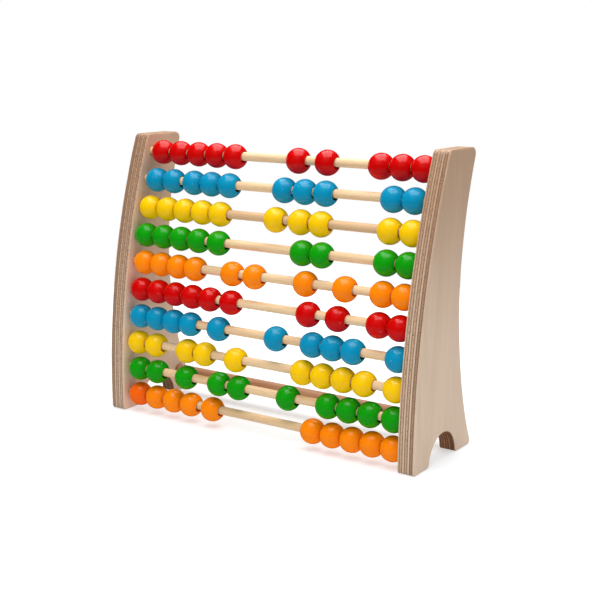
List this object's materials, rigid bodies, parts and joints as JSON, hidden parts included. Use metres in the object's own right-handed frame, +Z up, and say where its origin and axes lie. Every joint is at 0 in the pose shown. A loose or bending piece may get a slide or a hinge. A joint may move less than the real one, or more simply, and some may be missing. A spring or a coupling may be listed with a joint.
{
  "type": "bead abacus",
  "caption": "Counting abacus with two curved plywood sides, rods between them, rows of sliding coloured wooden beads, a rear stretcher and arched feet.",
  "frame": {"origin": "centre of the base, on the surface that the feet stand on", "axes": "+X along the rods, towards the right as seen from the front; +Y from the front edge to the back; +Z up"},
  "size_m": [0.293, 0.0908, 0.23],
  "materials": {
    "plywood": "clear-sealed multi-layer birch plywood, satin, with bare laminated edges",
    "rod_wood": "bare sanded beech dowel",
    "stretcher_wood": "bare sanded reddish-brown hardwood dowel",
    "red_lacquer": "turned beech bead in glossy red lacquer",
    "blue_lacquer": "turned beech bead in glossy blue lacquer",
    "yellow_lacquer": "turned beech bead in glossy yellow lacquer",
    "green_lacquer": "turned beech bead in glossy green lacquer",
    "orange_lacquer": "turned beech bead in glossy orange lacquer"
  },
  "bodies": {
    "root": {"rod_01": "rod_wood", "rod_02": "rod_wood", "rod_03": "rod_wood", "rod_04": "rod_wood", "rod_05": "rod_wood", "rod_06": "rod_wood", "rod_07": "rod_wood", "rod_08": "rod_wood", "rod_09": "rod_wood", "rod_10": "rod_wood", "side_panel_left": "plywood", "side_panel_right": "plywood", "stretcher": "stretcher_wood"},
    "beads_01_a": {"beads_01_a": "red_lacquer"},
    "beads_01_b": {"beads_01_b": "red_lacquer"},
    "beads_01_c": {"beads_01_c": "red_lacquer"},
    "beads_01_d": {"beads_01_d": "red_lacquer"},
    "beads_02_a": {"beads_02_a": "blue_lacquer"},
    "beads_02_b": {"beads_02_b": "blue_lacquer"},
    "beads_02_c": {"beads_02_c": "blue_lacquer"},
    "beads_02_d": {"beads_02_d": "blue_lacquer"},
    "beads_03_a": {"beads_03_a": "yellow_lacquer"},
    "beads_03_b": {"beads_03_b": "yellow_lacquer"},
    "beads_03_c": {"beads_03_c": "yellow_lacquer"},
    "beads_03_d": {"beads_03_d": "yellow_lacquer"},
    "beads_04_a": {"beads_04_a": "green_lacquer"},
    "beads_04_b": {"beads_04_b": "green_lacquer"},
    "beads_04_c": {"beads_04_c": "green_lacquer"},
    "beads_04_d": {"beads_04_d": "green_lacquer"},
    "beads_05_a": {"beads_05_a": "orange_lacquer"},
    "beads_05_b": {"beads_05_b": "orange_lacquer"},
    "beads_05_c": {"beads_05_c": "orange_lacquer"},
    "beads_05_d": {"beads_05_d": "orange_lacquer"},
    "beads_05_e": {"beads_05_e": "orange_lacquer"},
    "beads_05_f": {"beads_05_f": "orange_lacquer"},
    "beads_06_a": {"beads_06_a": "red_lacquer"},
    "beads_06_b": {"beads_06_b": "red_lacquer"},
    "beads_06_c": {"beads_06_c": "red_lacquer"},
    "beads_06_d": {"beads_06_d": "red_lacquer"},
    "beads_06_e": {"beads_06_e": "red_lacquer"},
    "beads_07_a": {"beads_07_a": "blue_lacquer"},
    "beads_07_b": {"beads_07_b": "blue_lacquer"},
    "beads_07_c": {"beads_07_c": "blue_lacquer"},
    "beads_07_d": {"beads_07_d": "blue_lacquer"},
    "beads_07_e": {"beads_07_e": "blue_lacquer"},
    "beads_08_a": {"beads_08_a": "yellow_lacquer"},
    "beads_08_b": {"beads_08_b": "yellow_lacquer"},
    "beads_08_c": {"beads_08_c": "yellow_lacquer"},
    "beads_08_d": {"beads_08_d": "yellow_lacquer"},
    "beads_08_e": {"beads_08_e": "yellow_lacquer"},
    "beads_09_a": {"beads_09_a": "green_lacquer"},
    "beads_09_b": {"beads_09_b": "green_lacquer"},
    "beads_09_c": {"beads_09_c": "green_lacquer"},
    "beads_09_d": {"beads_09_d": "green_lacquer"},
    "beads_09_e": {"beads_09_e": "green_lacquer"},
    "beads_09_f": {"beads_09_f": "green_lacquer"},
    "beads_09_g": {"beads_09_g": "green_lacquer"},
    "beads_10_a": {"beads_10_a": "orange_lacquer"},
    "beads_10_b": {"beads_10_b": "orange_lacquer"},
    "beads_10_c": {"beads_10_c": "orange_lacquer"}
  },
  "joints": [
    {"name": "beads_01_a_slide", "type": "slide", "parent": "root", "child": "beads_01_a", "axis": [1, 0, 0], "range_m": [-0.0034, 0.043]},
    {"name": "beads_01_b_slide", "type": "slide", "parent": "root", "child": "beads_01_b", "axis": [1, 0, 0], "range_m": [-0.043, 0.0088]},
    {"name": "beads_01_c_slide", "type": "slide", "parent": "root", "child": "beads_01_c", "axis": [1, 0, 0], "range_m": [-0.0088, 0.0292]},
    {"name": "beads_01_d_slide", "type": "slide", "parent": "root", "child": "beads_01_d", "axis": [1, 0, 0], "range_m": [-0.0292, 0.0001]},
    {"name": "beads_02_a_slide", "type": "slide", "parent": "root", "child": "beads_02_a", "axis": [1, 0, 0], "range_m": [-0.0027, 0.0035]},
    {"name": "beads_02_b_slide", "type": "slide", "parent": "root", "child": "beads_02_b", "axis": [1, 0, 0], "range_m": [-0.0035, 0.0358]},
    {"name": "beads_02_c_slide", "type": "slide", "parent": "root", "child": "beads_02_c", "axis": [1, 0, 0], "range_m": [-0.0358, 0.0408]},
    {"name": "beads_02_d_slide", "type": "slide", "parent": "root", "child": "beads_02_d", "axis": [1, 0, 0], "range_m": [-0.0408, 0.0029]},
    {"name": "beads_03_a_slide", "type": "slide", "parent": "root", "child": "beads_03_a", "axis": [1, 0, 0], "range_m": [-0.0007, 0.0365]},
    {"name": "beads_03_b_slide", "type": "slide", "parent": "root", "child": "beads_03_b", "axis": [1, 0, 0], "range_m": [-0.0365, 0.0054]},
    {"name": "beads_03_c_slide", "type": "slide", "parent": "root", "child": "beads_03_c", "axis": [1, 0, 0], "range_m": [-0.0054, 0.042]},
    {"name": "beads_03_d_slide", "type": "slide", "parent": "root", "child": "beads_03_d", "axis": [1, 0, 0], "range_m": [-0.042, 0.0003]},
    {"name": "beads_04_a_slide", "type": "slide", "parent": "root", "child": "beads_04_a", "axis": [1, 0, 0], "range_m": [-0.0002, 0.0027]},
    {"name": "beads_04_b_slide", "type": "slide", "parent": "root", "child": "beads_04_b", "axis": [1, 0, 0], "range_m": [-0.0027, 0.0628]},
    {"name": "beads_04_c_slide", "type": "slide", "parent": "root", "child": "beads_04_c", "axis": [1, 0, 0], "range_m": [-0.0628, 0.0382]},
    {"name": "beads_04_d_slide", "type": "slide", "parent": "root", "child": "beads_04_d", "axis": [1, 0, 0], "range_m": [-0.0382, 0]},
    {"name": "beads_05_a_slide", "type": "slide", "parent": "root", "child": "beads_05_a", "axis": [1, 0, 0], "range_m": [-0.0019, 0.0199]},
    {"name": "beads_05_b_slide", "type": "slide", "parent": "root", "child": "beads_05_b", "axis": [1, 0, 0], "range_m": [-0.0199, 0.0043]},
    {"name": "beads_05_c_slide", "type": "slide", "parent": "root", "child": "beads_05_c", "axis": [1, 0, 0], "range_m": [-0.0043, 0.0302]},
    {"name": "beads_05_d_slide", "type": "slide", "parent": "root", "child": "beads_05_d", "axis": [1, 0, 0], "range_m": [-0.0302, 0.0177]},
    {"name": "beads_05_e_slide", "type": "slide", "parent": "root", "child": "beads_05_e", "axis": [1, 0, 0], "range_m": [-0.0177, 0.0146]},
    {"name": "beads_05_f_slide", "type": "slide", "parent": "root", "child": "beads_05_f", "axis": [1, 0, 0], "range_m": [-0.0146, 0.0001]},
    {"name": "beads_06_a_slide", "type": "slide", "parent": "root", "child": "beads_06_a", "axis": [1, 0, 0], "range_m": [-0.0008, 0.0038]},
    {"name": "beads_06_b_slide", "type": "slide", "parent": "root", "child": "beads_06_b", "axis": [1, 0, 0], "range_m": [-0.0038, 0.0557]},
    {"name": "beads_06_c_slide", "type": "slide", "parent": "root", "child": "beads_06_c", "axis": [1, 0, 0], "range_m": [-0.0557, 0.0089]},
    {"name": "beads_06_d_slide", "type": "slide", "parent": "root", "child": "beads_06_d", "axis": [1, 0, 0], "range_m": [-0.0089, 0.0178]},
    {"name": "beads_06_e_slide", "type": "slide", "parent": "root", "child": "beads_06_e", "axis": [1, 0, 0], "range_m": [-0.0178, 0.0008]},
    {"name": "beads_07_a_slide", "type": "slide", "parent": "root", "child": "beads_07_a", "axis": [1, 0, 0], "range_m": [-0.0018, 0.0114]},
    {"name": "beads_07_b_slide", "type": "slide", "parent": "root", "child": "beads_07_b", "axis": [1, 0, 0], "range_m": [-0.0114, 0.0387]},
    {"name": "beads_07_c_slide", "type": "slide", "parent": "root", "child": "beads_07_c", "axis": [1, 0, 0], "range_m": [-0.0387, 0.0161]},
    {"name": "beads_07_d_slide", "type": "slide", "parent": "root", "child": "beads_07_d", "axis": [1, 0, 0], "range_m": [-0.0161, 0.0205]},
    {"name": "beads_07_e_slide", "type": "slide", "parent": "root", "child": "beads_07_e", "axis": [1, 0, 0], "range_m": [-0.0205, 0.0001]},
    {"name": "beads_08_a_slide", "type": "slide", "parent": "root", "child": "beads_08_a", "axis": [1, 0, 0], "range_m": [-0.0006, 0.0157]},
    {"name": "beads_08_b_slide", "type": "slide", "parent": "root", "child": "beads_08_b", "axis": [1, 0, 0], "range_m": [-0.0157, 0.0137]},
    {"name": "beads_08_c_slide", "type": "slide", "parent": "root", "child": "beads_08_c", "axis": [1, 0, 0], "range_m": [-0.0137, 0.0464]},
    {"name": "beads_08_d_slide", "type": "slide", "parent": "root", "child": "beads_08_d", "axis": [1, 0, 0], "range_m": [-0.0464, 0.0092]},
    {"name": "beads_08_e_slide", "type": "slide", "parent": "root", "child": "beads_08_e", "axis": [1, 0, 0], "range_m": [-0.0092, 0.0001]},
    {"name": "beads_09_a_slide", "type": "slide", "parent": "root", "child": "beads_09_a", "axis": [1, 0, 0], "range_m": [-0.0019, 0.0137]},
    {"name": "beads_09_b_slide", "type": "slide", "parent": "root", "child": "beads_09_b", "axis": [1, 0, 0], "range_m": [-0.0137, 0.0162]},
    {"name": "beads_09_c_slide", "type": "slide", "parent": "root", "child": "beads_09_c", "axis": [1, 0, 0], "range_m": [-0.0162, 0.0024]},
    {"name": "beads_09_d_slide", "type": "slide", "parent": "root", "child": "beads_09_d", "axis": [1, 0, 0], "range_m": [-0.0024, 0.0303]},
    {"name": "beads_09_e_slide", "type": "slide", "parent": "root", "child": "beads_09_e", "axis": [1, 0, 0], "range_m": [-0.0303, 0.0189]},
    {"name": "beads_09_f_slide", "type": "slide", "parent": "root", "child": "beads_09_f", "axis": [1, 0, 0], "range_m": [-0.0189, 0.0029]},
    {"name": "beads_09_g_slide", "type": "slide", "parent": "root", "child": "beads_09_g", "axis": [1, 0, 0], "range_m": [-0.0029, 0.0001]},
    {"name": "beads_10_a_slide", "type": "slide", "parent": "root", "child": "beads_10_a", "axis": [1, 0, 0], "range_m": [-0.0016, 0.005]},
    {"name": "beads_10_b_slide", "type": "slide", "parent": "root", "child": "beads_10_b", "axis": [1, 0, 0], "range_m": [-0.005, 0.0799]},
    {"name": "beads_10_c_slide", "type": "slide", "parent": "root", "child": "beads_10_c", "axis": [1, 0, 0], "range_m": [-0.0799, 0.0003]}
  ]
}
